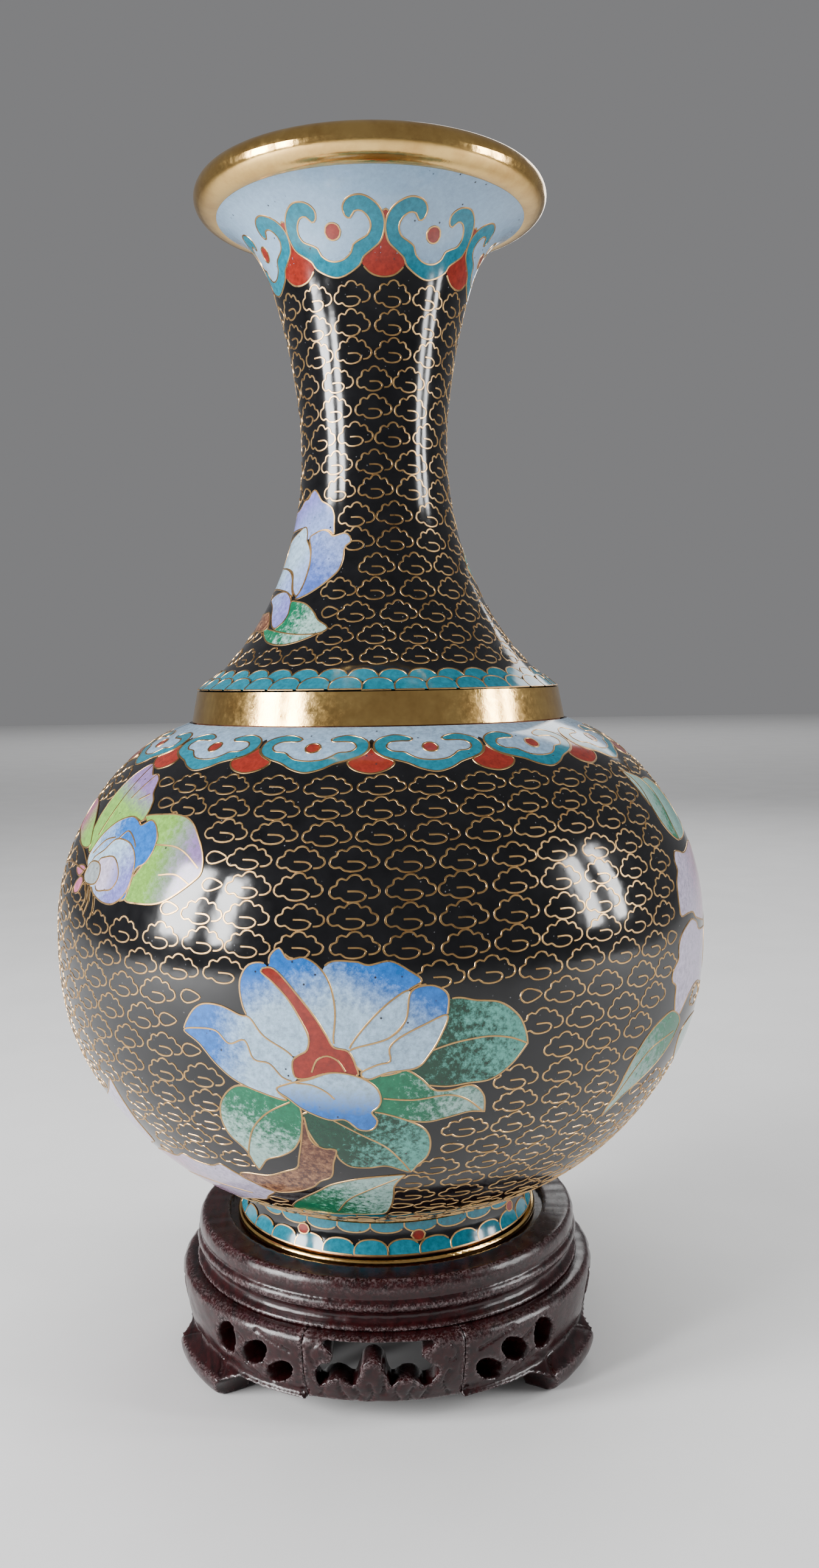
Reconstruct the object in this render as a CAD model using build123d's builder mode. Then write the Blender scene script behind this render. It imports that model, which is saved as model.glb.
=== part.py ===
from build123d import *
from math import cos, radians, sin
import os

os.makedirs("parts", exist_ok=True)

# Cloisonne vase on a carved wooden stand. Millimetres, +Z up, origin on the floor under the
# vase's axis, front towards -Y. Profiles are (radius, height) pairs.

# --- driving dimensions -------------------------------------------------------------------
# Stand
seat_height = 22.8              # the vase's foot rests here
stand_rim_height = 24.0         # top of the turned ring around the seat
seat_radius = 28.3
seat_thickness = 3.5
ledge_radius = 25.5             # the ledge that carries the seat board
apron_top = 15.9                # glue line between the turned ring and the carved apron
leg_count = 3
leg_half_angle = 39.5           # half the arc of a leg block, its two pierced wings included
stand_turn = -1.5               # the stand is turned a little against the vase's front
toe_half_width = 7.2
wing_bottom = 4.6               # lower edge of wings and panels

# Vase
foot_joint_height = 30.2
foot_ring_top = 24.1
belly_top = 111.3
collar_top = 116.5
copper_joint_height = 113.8     # neck and belly meet under the collar
copper_joint_radius = 30.9
equator_height = 72.5           # solder line between the two belly bowls
rim_ring_radius = 26.6
rim_ring_height = 199.2
rim_half_width = 3.4
rim_half_height = 3.0

# Layers of the wall, measured inwards from the polished enamel surface
coat = 0.9                      # coloured enamel, with the wires standing in it
copper = 1.0
lining = 0.4                    # plain enamel on the inside

# The enamel surface, from the collar up to the rim and from the collar down to the floor
neck_profile = [
    (31.3, 116.6), (24.4, 123.0), (18.3, 132.6), (14.5, 142.9), (12.6, 156.5),
    (13.5, 169.0), (16.2, 182.0), (19.2, 190.0), (26.7, 196.4),
]
belly_profile = [
    (32.3, 111.3), (41.7, 106.5), (50.4, 96.6), (54.8, 86.8), (56.2, 72.5),
    (54.6, 60.9), (50.2, 51.2), (42.8, 41.5), (34.4, 34.6), (25.0, 30.2),
]
foot_profile = [(24.9, 30.2), (25.4, 26.5), (26.6, 23.9)]

# Lower edges of the coloured bands
rim_border_bottom = 184.6
scale_band_top = 120.6
shoulder_border_bottom = 103.4


# --- helpers ------------------------------------------------------------------------------
def below(profile, depth, steps=24):
    """Points at a depth under a profile's surface, towards the inside of the vase."""
    curve = Spline(*profile, mode=Mode.PRIVATE)
    side = 1 if profile[-1][1] > profile[0][1] else -1
    points = []
    for step in range(steps + 1):
        along = curve.tangent_at(step / steps)
        inward = Vector(-along.Y, along.X) * side
        points.append(curve.position_at(step / steps) + inward * depth)
    return points


def draw_layer(profile, outer_depth, inner_depth, joint=()):
    """The outline of one layer of the wall; joint holds extra corners at its first end."""
    outer = Spline(*below(profile, outer_depth))
    inner = Spline(*below(profile, inner_depth))
    Polyline(outer @ 0, *joint, inner @ 0)
    Line(outer @ 1, inner @ 1)


def outward_plane(radius, height, lift, angle):
    """A plane facing outwards, its normal lifted from the horizontal; angle 0 is the front."""
    turn = radians(angle - 90)
    across = Vector(-sin(turn), cos(turn), 0)
    outward = Vector(cos(turn) * cos(radians(lift)), sin(turn) * cos(radians(lift)), sin(radians(lift)))
    return Plane(origin=(radius * cos(turn), radius * sin(turn), height), x_dir=across, z_dir=outward)


def section_plane(angle):
    """An upright plane through the vase's axis, its x axis pointing outwards at an angle."""
    turn = radians(angle - 90)
    return Plane(origin=(0, 0, 0), x_dir=(cos(turn), sin(turn), 0), z_dir=(sin(turn), -cos(turn), 0))


def save(part, name):
    """Label a finished sub-part and write its STEP file."""
    part.label = name
    export_step(part, f"parts/{name}.step")


# --- copper body --------------------------------------------------------------------------
copper_inner = coat + copper
joint_outer = (copper_joint_radius, copper_joint_height)
joint_inner = (copper_joint_radius - copper, copper_joint_height)

with BuildPart() as rim_ring:
    with BuildSketch(Plane.XZ):
        with Locations((rim_ring_radius, rim_ring_height)):
            Ellipse(rim_half_width, rim_half_height)
    revolve(axis=Axis.Z)
save(rim_ring.part, "rim_ring")

with BuildPart() as neck_shell:
    with BuildSketch(Plane.XZ):
        with BuildLine():
            draw_layer(neck_profile, coat, copper_inner, (joint_outer, joint_inner))
        make_face()
    revolve(axis=Axis.Z)
    add(rim_ring.part, mode=Mode.SUBTRACT)
save(neck_shell.part, "neck_shell")

with BuildPart() as belly_shell:
    with BuildSketch(Plane.XZ):
        with BuildLine():
            draw_layer(belly_profile, coat, copper_inner, (joint_outer, joint_inner))
        make_face()
    revolve(axis=Axis.Z)

with BuildPart() as upper_bowl:
    add(belly_shell.part)
    split(bisect_by=Plane.XY.offset(equator_height), keep=Keep.TOP)
save(upper_bowl.part, "belly_upper_shell")

with BuildPart() as lower_bowl:
    add(belly_shell.part)
    split(bisect_by=Plane.XY.offset(equator_height), keep=Keep.BOTTOM)
save(lower_bowl.part, "belly_lower_shell")

with BuildPart() as foot_ring:
    with BuildSketch(Plane.XZ):
        with BuildLine():
            base_line = Polyline((24.4, foot_ring_top), (24.4, seat_height), (26.3, seat_height))
            bulge = ThreePointArc(base_line @ 1, (26.9, 23.4), (26.6, foot_ring_top))
            Line(bulge @ 1, base_line @ 0)
        make_face()
    revolve(axis=Axis.Z)
save(foot_ring.part, "foot_ring")

with BuildPart() as foot_shell:
    with BuildSketch(Plane.XZ):
        with BuildLine():
            draw_layer(foot_profile, coat, copper_inner)
        make_face()
    revolve(axis=Axis.Z)
    split(bisect_by=Plane.XY.offset(foot_joint_height), keep=Keep.BOTTOM)
    split(bisect_by=Plane.XY.offset(foot_ring_top), keep=Keep.TOP)
save(foot_shell.part, "foot_shell")

with BuildPart() as base_plate:
    with BuildSketch(Plane.XY.offset(foot_joint_height)):
        Circle(24.4)
    extrude(amount=copper)
    add(lower_bowl.part, mode=Mode.SUBTRACT)
save(base_plate.part, "base_plate")

with BuildPart() as foot_joint_ring:
    with BuildSketch(Plane.XZ):
        with Locations((25.0, foot_joint_height)):
            Ellipse(0.8, 0.5)
    revolve(axis=Axis.Z)
    add(base_plate.part, mode=Mode.SUBTRACT)
    add(lower_bowl.part, mode=Mode.SUBTRACT)
    add(foot_shell.part, mode=Mode.SUBTRACT)
save(foot_joint_ring.part, "foot_joint_ring")

# --- enamel -------------------------------------------------------------------------------
with BuildPart() as neck_coat:
    with BuildSketch(Plane.XZ):
        with BuildLine():
            draw_layer(neck_profile, 0, coat)
        make_face()
    revolve(axis=Axis.Z)
    add(rim_ring.part, mode=Mode.SUBTRACT)

with BuildPart() as belly_coat:
    with BuildSketch(Plane.XZ):
        with BuildLine():
            draw_layer(belly_profile, 0, coat)
        make_face()
    revolve(axis=Axis.Z)
    add(foot_joint_ring.part, mode=Mode.SUBTRACT)

with BuildPart() as rim_border:
    add(neck_coat.part)
    split(bisect_by=Plane.XY.offset(rim_border_bottom), keep=Keep.TOP)
save(rim_border.part, "rim_border_enamel")

with BuildPart() as neck_ground:
    add(neck_coat.part)
    split(bisect_by=Plane.XY.offset(rim_border_bottom), keep=Keep.BOTTOM)
    split(bisect_by=Plane.XY.offset(scale_band_top), keep=Keep.TOP)
save(neck_ground.part, "neck_enamel")

with BuildPart() as scale_band:
    add(neck_coat.part)
    split(bisect_by=Plane.XY.offset(scale_band_top), keep=Keep.BOTTOM)
save(scale_band.part, "scale_band_enamel")

with BuildPart() as shoulder_border:
    add(belly_coat.part)
    split(bisect_by=Plane.XY.offset(shoulder_border_bottom), keep=Keep.TOP)
save(shoulder_border.part, "shoulder_border_enamel")

with BuildPart() as belly_ground:
    add(belly_coat.part)
    split(bisect_by=Plane.XY.offset(shoulder_border_bottom), keep=Keep.BOTTOM)
save(belly_ground.part, "belly_enamel")

with BuildPart() as foot_coat:
    with BuildSketch(Plane.XZ):
        with BuildLine():
            draw_layer(foot_profile, 0, coat)
        make_face()
    revolve(axis=Axis.Z)
    split(bisect_by=Plane.XY.offset(foot_joint_height), keep=Keep.BOTTOM)
    split(bisect_by=Plane.XY.offset(foot_ring_top), keep=Keep.TOP)
    add(foot_joint_ring.part, mode=Mode.SUBTRACT)
save(foot_coat.part, "foot_enamel")

with BuildPart() as collar_ring:
    with BuildSketch(Plane.XZ):
        with BuildLine():
            Polyline((30.6, collar_top), (31.6, collar_top), (32.6, belly_top), (31.0, belly_top), close=True)
        make_face()
    revolve(axis=Axis.Z)
    for neighbour in (neck_shell, upper_bowl, neck_coat, belly_coat):
        add(neighbour.part, mode=Mode.SUBTRACT)
save(collar_ring.part, "collar_ring")

# --- plain enamel inside and underneath ---------------------------------------------------
with BuildPart() as neck_lining:
    with BuildSketch(Plane.XZ):
        with BuildLine():
            draw_layer(neck_profile, copper_inner, copper_inner + lining)
        make_face()
    revolve(axis=Axis.Z)
    add(rim_ring.part, mode=Mode.SUBTRACT)
save(neck_lining.part, "neck_lining")

with BuildPart() as belly_lining:
    with BuildSketch(Plane.XZ):
        with BuildLine():
            draw_layer(belly_profile, copper_inner, copper_inner + lining)
        make_face()
    revolve(axis=Axis.Z)
save(belly_lining.part, "belly_lining")

with BuildPart() as base_lining:
    with BuildSketch(Plane.XY.offset(foot_joint_height + copper)):
        Circle(24.0)
    extrude(amount=lining)
    add(lower_bowl.part, mode=Mode.SUBTRACT)
    add(belly_lining.part, mode=Mode.SUBTRACT)
save(base_lining.part, "base_lining")

with BuildPart() as base_enamel:
    with BuildSketch(Plane.XY.offset(foot_joint_height)):
        Circle(23.6)
    extrude(amount=-lining)
    add(foot_shell.part, mode=Mode.SUBTRACT)
save(base_enamel.part, "base_enamel")

# --- stand --------------------------------------------------------------------------------
with BuildPart() as stand_top_ring:
    with BuildSketch(Plane.XZ):
        with BuildLine():
            rim_flat = Line((seat_radius, stand_rim_height), (33.1, stand_rim_height))
            band = ThreePointArc(rim_flat @ 1, (33.8, 22.6), (33.3, 20.6))
            bead = ThreePointArc(band @ 1, (34.3, 19.7), (33.4, 18.8))
            hollow = ThreePointArc(bead @ 1, (33.0, 17.7), (34.0, 16.7))
            Polyline(
                hollow @ 1, (34.4, 16.5), (34.4, apron_top), (ledge_radius, apron_top),
                (ledge_radius, seat_height - seat_thickness), (seat_radius, seat_height - seat_thickness),
                rim_flat @ 0,
            )
        make_face()
    revolve(axis=Axis.Z)
save(stand_top_ring.part, "stand_top_ring")

with BuildPart() as stand_seat:
    with BuildSketch(Plane.XY.offset(seat_height)):
        Circle(seat_radius)
    extrude(amount=-seat_thickness)
save(stand_seat.part, "stand_seat")


def draw_apron_section(toe):
    """The outline of the carved wall under the ring, with or without a flaring toe."""
    top = Line((31.4, apron_top), (35.4, apron_top))
    shoulder = ThreePointArc(top @ 1, (36.6, 15.2), (36.9, 13.8))
    belly = ThreePointArc(shoulder @ 1, (36.4, 9.6), (35.0, 5.4))
    if toe:
        instep = ThreePointArc(belly @ 1, (36.2, 4.6), (37.9, 3.8))
        nose = ThreePointArc(instep @ 1, (37.9, 1.8), (36.0, 0))
        Polyline(nose @ 1, (31.6, 0), (30.6, wing_bottom), top @ 0)
    else:
        Polyline(belly @ 1, (34.4, 3.0), (30.4, 3.0), top @ 0)


def draw_wing_holes(side):
    """The three slanting holes carved through one wing of a leg."""
    with Locations(Location((side * 8.9, 10.9), side * 55)):
        Ellipse(3.1, 2.1, mode=Mode.SUBTRACT)
    with Locations(Location((side * 14.9, 10.4), side * 40)):
        Ellipse(3.4, 1.6, mode=Mode.SUBTRACT)
    with Locations(Location((side * 18.9, 8.3), side * 40)):
        Ellipse(3.1, 1.35, mode=Mode.SUBTRACT)


def build_leg(name, angle):
    """A leg with its flaring toe and two pierced wings, carved from one block."""
    with BuildPart() as leg:
        with BuildSketch(section_plane(angle - leg_half_angle)):
            with BuildLine():
                draw_apron_section(toe=True)
            make_face()
        revolve(axis=Axis.Z, revolution_arc=2 * leg_half_angle)
        with BuildSketch(outward_plane(0, 0, 0, angle)):
            with BuildLine():
                ankle = ThreePointArc((12.5, wing_bottom), (9.0, 3.6), (toe_half_width, 0))
                Line(ankle @ 1, (0, 0))
                Polyline(ankle @ 0, (30, wing_bottom), (30, 17), (0, 17))
                mirror(about=Plane.YZ)
            make_face()
            draw_wing_holes(1)
            draw_wing_holes(-1)
        extrude(amount=45, mode=Mode.INTERSECT)
    save(leg.part, name)


def build_panel(name, angle):
    """The pierced panel between two legs: a bud and two leaves on its lower bar, between scrolls."""
    panel_half_angle = 180 / leg_count - leg_half_angle
    left_scroll = [(-11.0, 15.1), (-9.2, 14.35), (-7.9, 13.2), (-8.3, 11.8), (-10.0, 11.3), (-10.7, 9.2), (-10.0, 6.9)]
    left_leaf = [(-7.4, 9.0), (-4.5, 7.2)]
    bud = [(-4.3, 8.9), (-3.7, 10.4), (-1.7, 12.6), (0.3, 10.4), (0.8, 8.9), (1.1, 7.2)]
    right_leaf = [(3.6, 9.2), (6.1, 7.4)]
    right_scroll = [(7.7, 8.4), (8.7, 10.4), (7.1, 11.7), (5.7, 13.2), (7.3, 14.2), (9.4, 15.1)]
    opening = left_scroll + left_leaf + bud + right_leaf + right_scroll
    with BuildPart() as panel:
        with BuildSketch(section_plane(angle - panel_half_angle)):
            with BuildLine():
                draw_apron_section(toe=False)
            make_face()
        revolve(axis=Axis.Z, revolution_arc=2 * panel_half_angle)
        with BuildSketch(outward_plane(0, 0, 0, angle)):
            with Locations((0, (wing_bottom + 17) / 2)):
                Rectangle(60, 17 - wing_bottom)
            with BuildLine():
                for start in range(0, len(opening) - 2, 2):
                    ThreePointArc(*opening[start:start + 3])
                Line(opening[-1], opening[0])
            make_face(mode=Mode.SUBTRACT)
        extrude(amount=45, mode=Mode.INTERSECT)
    save(panel.part, name)


leg_pitch = 360 / leg_count
for name, step in (("leg_front_right", 0.5), ("leg_back", 1.5), ("leg_front_left", -0.5)):
    build_leg(name, step * leg_pitch + stand_turn)
for name, step in (("apron_front", 0), ("apron_back_right", 1), ("apron_back_left", -1)):
    build_panel(name, step * leg_pitch + stand_turn)
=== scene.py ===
import math
import random

import bpy
import numpy as np
from mathutils import Matrix, Vector
from mathutils.geometry import delaunay_2d_cdt


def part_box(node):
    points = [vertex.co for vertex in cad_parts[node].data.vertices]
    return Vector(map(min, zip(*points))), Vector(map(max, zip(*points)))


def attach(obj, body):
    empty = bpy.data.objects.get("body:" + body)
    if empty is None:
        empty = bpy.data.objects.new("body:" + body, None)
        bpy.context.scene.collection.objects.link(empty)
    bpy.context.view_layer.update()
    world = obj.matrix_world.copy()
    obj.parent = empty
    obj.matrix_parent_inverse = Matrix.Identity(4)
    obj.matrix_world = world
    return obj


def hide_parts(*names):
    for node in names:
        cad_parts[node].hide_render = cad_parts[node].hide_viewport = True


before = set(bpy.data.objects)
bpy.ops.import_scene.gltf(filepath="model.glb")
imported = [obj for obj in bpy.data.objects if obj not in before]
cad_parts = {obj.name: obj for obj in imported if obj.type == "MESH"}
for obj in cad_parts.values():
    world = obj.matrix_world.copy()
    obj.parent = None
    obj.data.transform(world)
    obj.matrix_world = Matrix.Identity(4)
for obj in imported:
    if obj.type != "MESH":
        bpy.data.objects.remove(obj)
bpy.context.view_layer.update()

# Cloisonne vase on its carved stand. Blender works in metres; the decoration is drawn in
# millimetres on the vase's wall as (across, up). Across is measured round the vase at the
# wall's reference radius, from the front to the viewer's right. Up follows the surface.
MM = 0.001
FRONT = -math.pi / 2
dice = random.Random(7)

# --- driving values, in mm unless they say otherwise ---
NECK_REFERENCE = 20.0  # radius at which across is measured on each wall
BELLY_REFERENCE = 56.2
FOOT_REFERENCE = 25.5
BELLY_START = 0.9  # up of the belly's lowest point
WIRE_WIDTH = 0.32
WIRE_PROUD = 0.05  # how far a wire stands out of the enamel
WIRE_SUNK = 0.04  # and how far it is let in
WIRE_TOP = 0.62  # width of its top, as a share of its foot
WIRE_STEP = 0.55  # spacing of the points along a wire
CLOUD_STEP = 0.32  # and along a cloud, which curls tighter
CLOUD_LENGTH = 8.35  # size of the cloud outline as it is drawn
CLOUD_HEIGHT = 4.35
CELL_LIFT = 0.02  # coloured cells lie this far over the ground coat
LAYER_STEP = 0.005  # and each one this much over the cells under it
CELL_GRID = 0.9  # spacing of the points inside a cell
COAT = 0.9  # thickness of the enamel
TURN_STEPS = 360
SHOULDER_LAPPETS = 14
SHOULDER_TURN = -14.3  # across of one lappet
NECK_LAPPETS = 7
NECK_TURN = -6.6
SCALES = 38
FOOT_PETALS = 30
FOOT_DOTS = 8
GLAZE_IOR = 1.52

# Enamel colours
PALE_BLUE = (0.24, 0.36, 0.50)
TURQUOISE = (0.004, 0.150, 0.215)
BRICK = (0.215, 0.018, 0.010)
WHITE_BLUE = (0.31, 0.45, 0.59)
SKY = (0.012, 0.125, 0.45)
DEEP_GREEN = (0.003, 0.040, 0.020)
GREEN = (0.004, 0.130, 0.060)
TEAL = (0.085, 0.30, 0.25)
PALE_GREEN = (0.27, 0.42, 0.38)
BROWN = (0.085, 0.024, 0.012)
TAN = (0.27, 0.13, 0.060)
PERIWINKLE = (0.22, 0.30, 0.58)
BLUE_VIOLET = (0.070, 0.125, 0.42)
LAVENDER = (0.17, 0.17, 0.46)
LILAC = (0.22, 0.14, 0.33)
LIME = (0.18, 0.38, 0.065)
PINK_WHITE = (0.44, 0.39, 0.52)
ROSE = (0.38, 0.11, 0.20)
GREY = (0.24, 0.27, 0.28)
GRAINY = (DEEP_GREEN, GREEN, BROWN)


# --- the wall's surface, read from the frame ---
class Wall:
    """An enamelled surface of revolution, with its profile taken from the CAD coats."""

    def __init__(self, nodes, reference, low, high, start=0.0):
        self.reference = reference
        profile = {}
        for name in nodes:
            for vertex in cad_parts[name].data.vertices:
                place, normal = vertex.co, vertex.normal
                radius = math.hypot(place.x, place.y)
                outward = (normal.x * place.x + normal.y * place.y) / radius
                height = round(place.z / MM, 1)
                if outward > 0.25 and low <= height <= high:
                    profile[height] = max(radius / MM, profile.get(height, 0))
        points = np.array([(profile[height], height) for height in sorted(profile)])
        length = np.concatenate([[0], np.cumsum(np.hypot(*np.diff(points, axis=0).T))])
        self.up = np.linspace(0, length[-1], int(length[-1] / 0.5) + 2)
        radius = np.interp(self.up, length, points[:, 0])
        height = np.interp(self.up, length, points[:, 1])
        for _ in range(6):
            radius[1:-1] = (radius[:-2] + 2 * radius[1:-1] + radius[2:]) / 4
            height[1:-1] = (height[:-2] + 2 * height[1:-1] + height[2:]) / 4
        self.radius = radius
        self.height = height
        self.out_r = np.gradient(height, self.up)
        self.out_z = -np.gradient(radius, self.up)
        self.up = self.up + start
        self.top = self.up[-1]

    def radius_at(self, up):
        return np.interp(up, self.up, self.radius)

    def section(self, low, high, depth):
        """Points (radius, height) of the profile between two ups, at a depth under it."""
        ups = [low] + [u for u in self.up if low < u < high] + [high]
        r = np.interp(ups, self.up, self.radius - depth * self.out_r)
        z = np.interp(ups, self.up, self.height - depth * self.out_z)
        return list(zip(r, z))

    def place(self, across, up, lift=0.0):
        """Points in metres, and their outward normals, for arrays of across and up."""
        across, up = np.asarray(across, float), np.asarray(up, float)
        angle = FRONT + across / self.reference
        out_r = np.interp(up, self.up, self.out_r)
        out_z = np.interp(up, self.up, self.out_z)
        size = np.hypot(out_r, out_z)
        out_r, out_z = out_r / size, out_z / size
        r = np.interp(up, self.up, self.radius) + lift * out_r
        z = np.interp(up, self.up, self.height) + lift * out_z
        points = np.stack([r * np.cos(angle), r * np.sin(angle), z], -1) * MM
        normals = np.stack([out_r * np.cos(angle), out_r * np.sin(angle), out_z], -1)
        return points, normals


def edge_height(node, side):
    """Lowest (0) or highest (1) height of a CAD node, in mm."""
    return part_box(node)[side].z / MM


neck = Wall(
    ["neck_enamel", "rim_border_enamel", "scale_band_enamel"], NECK_REFERENCE,
    edge_height("collar_ring", 1), edge_height("rim_ring", 0) + 0.1,
)
belly = Wall(
    ["belly_enamel", "shoulder_border_enamel"], BELLY_REFERENCE,
    edge_height("foot_joint_ring", 1), edge_height("collar_ring", 0), start=BELLY_START,
)
foot = Wall(
    ["foot_enamel"], FOOT_REFERENCE,
    edge_height("foot_ring", 1), edge_height("foot_joint_ring", 0),
)


# --- materials ---
def new_material(name):
    material = bpy.data.materials.new(name)
    material.use_nodes = True
    return material, material.node_tree, material.node_tree.nodes["Principled BSDF"]


def node(tree, kind, **values):
    """A shader node with its properties and input values set."""
    made = tree.nodes.new(kind)
    for key, value in values.items():
        if key.startswith("in_"):
            made.inputs[key[3:].replace("_", " ")].default_value = value
        else:
            setattr(made, key, value)
    return made


def feed(target, socket, source):
    """Drives an input of a shader node from another node's output."""
    target.id_data.links.new(source, target.inputs[socket])


def coordinates(tree):
    return node(tree, "ShaderNodeTexCoord").outputs["Object"]


def noise(tree, scale, detail=3.0, roughness=0.55):
    """A noise texture in object space; scale is in features per metre."""
    made = node(tree, "ShaderNodeTexNoise", in_Scale=scale, in_Detail=detail, in_Roughness=roughness)
    feed(made, "Vector", coordinates(tree))
    return made.outputs["Fac"]


def remap(tree, source, low, high, to_low, to_high):
    """A value stretched from the range low to high onto the range to_low to to_high."""
    made = node(tree, "ShaderNodeMapRange", in_From_Min=low, in_From_Max=high)
    made.inputs["To Min"].default_value = to_low
    made.inputs["To Max"].default_value = to_high
    feed(made, "Value", source)
    return made.outputs["Result"]


def mix_colour(tree, factor, first, second, blend="MIX"):
    made = node(tree, "ShaderNodeMix", data_type="RGBA", blend_type=blend)
    for socket, value in (("Factor", factor), ("A", first), ("B", second)):
        target = [s for s in made.inputs if s.name == socket and s.type in ("RGBA", "VALUE")]
        target = [s for s in target if (s.type == "VALUE") == (socket == "Factor")][0]
        if isinstance(value, bpy.types.NodeSocket):
            tree.links.new(value, target)
        elif socket == "Factor":
            target.default_value = value
        else:
            target.default_value = (*value, 1)
    return [s for s in made.outputs if s.type == "RGBA"][0]


def bump(tree, height, strength, distance):
    made = node(tree, "ShaderNodeBump", in_Strength=strength, in_Distance=distance)
    feed(made, "Height", height)
    return made.outputs["Normal"]


def pits(tree, scale, size):
    """Small round spots, 1 inside a pit and 0 outside."""
    cells = node(tree, "ShaderNodeTexVoronoi", in_Scale=scale, in_Randomness=1.0)
    feed(cells, "Vector", coordinates(tree))
    return remap(tree, cells.outputs["Distance"], size * 0.5, size, 1, 0)


def attribute(tree, name, output="Fac"):
    return node(tree, "ShaderNodeAttribute", attribute_name=name).outputs[output]


def enamel(name, colour=None, mottle=0.35):
    """Fired enamel ground flat: grainy mixed colours, pinholes and a glassy polish."""
    material, tree, shader = new_material(name)
    if colour is None:
        near = attribute(tree, "near", "Color")
        far = attribute(tree, "far", "Color")
        share = attribute(tree, "share")
        amount = attribute(tree, "grain")
        mixed = node(tree, "ShaderNodeMath", operation="MULTIPLY_ADD")
        feed(mixed, 0, remap(tree, noise(tree, 1100, 4, 0.75), 0.3, 0.7, -0.75, 0.75))
        feed(mixed, 1, amount)
        feed(mixed, 2, share)
        base = mix_colour(tree, remap(tree, mixed.outputs[0], 0.15, 1.05, 0, 1), near, far)
    else:
        base = mix_colour(tree, noise(tree, 90, 4), [c * 0.86 for c in colour], [c * 1.10 for c in colour])
    clouds = remap(tree, noise(tree, 1100, 5, 0.75), 0.35, 0.65, 1 - mottle, 1 + mottle * 0.5)
    grey = node(tree, "ShaderNodeCombineColor")
    for channel in grey.inputs:
        tree.links.new(clouds, channel)
    tinted = mix_colour(tree, 1.0, base, grey.outputs[0], "MULTIPLY")
    grains = remap(tree, noise(tree, 2600, 2, 0.6), 0.68, 0.74, 0, 0.25)
    tinted = mix_colour(tree, grains, tinted, (0.02, 0.05, 0.06))
    tinted = mix_colour(tree, pits(tree, 420, 0.09), tinted, (0.02, 0.02, 0.025))
    feed(shader, "Base Color", tinted)
    feed(shader, "Roughness", remap(tree, noise(tree, 160, 4), 0.3, 0.7, 0.07, 0.16))
    feed(shader, "Normal", bump(tree, noise(tree, 110, 3), 0.10, 0.0006))
    shader.inputs["IOR"].default_value = GLAZE_IOR
    return material


def black_enamel(name):
    """The black ground: glossy, faintly uneven, with fine pale pits."""
    material, tree, shader = new_material(name)
    clouds = remap(tree, noise(tree, 320, 4), 0.3, 0.7, 0.0, 1.0)
    base = mix_colour(tree, clouds, (0.0015, 0.0015, 0.002), (0.005, 0.005, 0.006))
    specks = pits(tree, 760, 0.10)
    keep = remap(tree, noise(tree, 240, 2), 0.45, 0.60, 0, 0.55)
    both = node(tree, "ShaderNodeMath", operation="MULTIPLY")
    feed(both, 0, specks)
    feed(both, 1, keep)
    base = mix_colour(tree, both.outputs[0], base, (0.22, 0.22, 0.23))
    feed(shader, "Base Color", base)
    feed(shader, "Roughness", remap(tree, noise(tree, 200, 5), 0.3, 0.7, 0.06, 0.15))
    feed(shader, "Normal", bump(tree, noise(tree, 120, 3), 0.12, 0.0006))
    shader.inputs["IOR"].default_value = GLAZE_IOR
    return material


def metal(name, colour, dark, rough_low, rough_high, dents):
    """Polished metal with faint tarnish, uneven polish and small dents."""
    material, tree, shader = new_material(name)
    tarnish = remap(tree, noise(tree, 180, 5, 0.65), 0.40, 0.72, 0, 0.75)
    feed(shader, "Base Color", mix_colour(tree, tarnish, colour, dark))
    fine = remap(tree, noise(tree, 900, 4, 0.7), 0.3, 0.7, rough_low, rough_high)
    feed(shader, "Roughness", fine)
    feed(shader, "Normal", bump(tree, noise(tree, 420, 5, 0.7), dents, 0.0004))
    shader.inputs["Metallic"].default_value = 1.0
    return material


def lacquered_wood(name):
    """Dark red-brown lacquered wood: streaked grain, pores, dust, pale wear on the edges."""
    material, tree, shader = new_material(name)
    stretch = node(tree, "ShaderNodeMapping")
    stretch.inputs["Scale"].default_value = (1.0, 0.16, 1.0)
    feed(stretch, "Vector", coordinates(tree))
    grain = node(tree, "ShaderNodeTexNoise", in_Scale=900.0, in_Detail=6.0, in_Roughness=0.7)
    feed(grain, "Vector", stretch.outputs["Vector"])
    streak = remap(tree, grain.outputs["Fac"], 0.35, 0.68, 0, 1)
    base = mix_colour(tree, streak, (0.0042, 0.0010, 0.0013), (0.028, 0.0040, 0.0048))
    wear = attribute(tree, "wear")
    broken = node(tree, "ShaderNodeMath", operation="MULTIPLY")
    feed(broken, 0, wear)
    feed(broken, 1, remap(tree, noise(tree, 2200, 5, 0.75), 0.48, 0.60, 0, 1))
    base = mix_colour(tree, broken.outputs[0], base, (0.12, 0.088, 0.090))
    dust = remap(tree, noise(tree, 3000, 3, 0.6), 0.70, 0.75, 0, 0.4)
    base = mix_colour(tree, dust, base, (0.12, 0.11, 0.11))
    feed(shader, "Base Color", base)
    feed(shader, "Roughness", remap(tree, noise(tree, 500, 4), 0.3, 0.7, 0.17, 0.32))
    feed(shader, "Normal", bump(tree, grain.outputs["Fac"], 0.22, 0.0003))
    shader.inputs["Specular IOR Level"].default_value = 0.32
    shader.inputs["Coat Weight"].default_value = 0.12
    shader.inputs["Coat Roughness"].default_value = 0.15
    return material


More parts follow.
